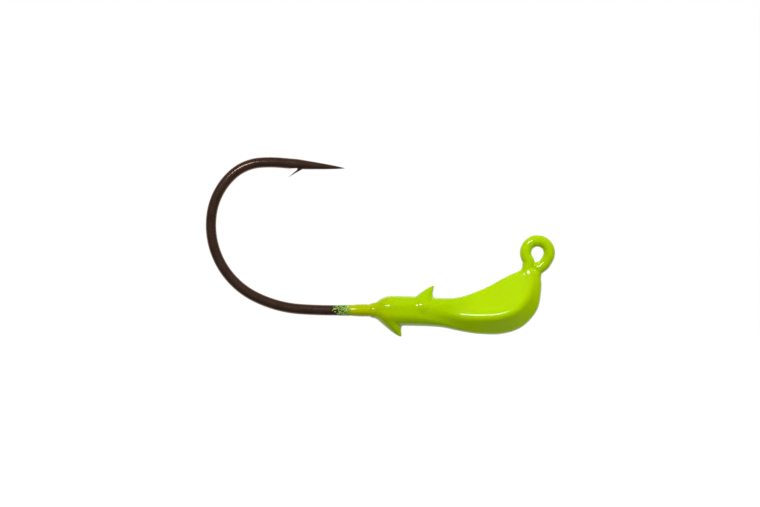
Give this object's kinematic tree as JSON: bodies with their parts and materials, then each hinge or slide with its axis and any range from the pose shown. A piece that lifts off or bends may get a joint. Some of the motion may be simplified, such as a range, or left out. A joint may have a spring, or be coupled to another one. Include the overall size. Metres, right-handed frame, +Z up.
{
  "type": "jig head",
  "caption": "Painted lead jig head with a finned bait keeper, cast on a wide-gap barbed hook with a ring eye to tie to.",
  "frame": {"origin": "middle of the line-tie eye", "axes": "+X from the hook's bend towards the nose, +Y across the hook's plane and along the eye's hole, +Z up, with the hook's point riding up"},
  "size_m": [0.0454, 0.0048, 0.0232],
  "materials": {
    "hook_wire": "polished dark bronze",
    "cast_lead": "dull cast lead",
    "powder_paint": "gloss chartreuse powder paint"
  },
  "bodies": {
    "root": {"hook_eye": "hook_wire", "hook_shank": "hook_wire", "hook_bend": "hook_wire", "hook_point": "hook_wire", "lead_head": "cast_lead", "paint_coat": "powder_paint"}
  },
  "joints": []
}
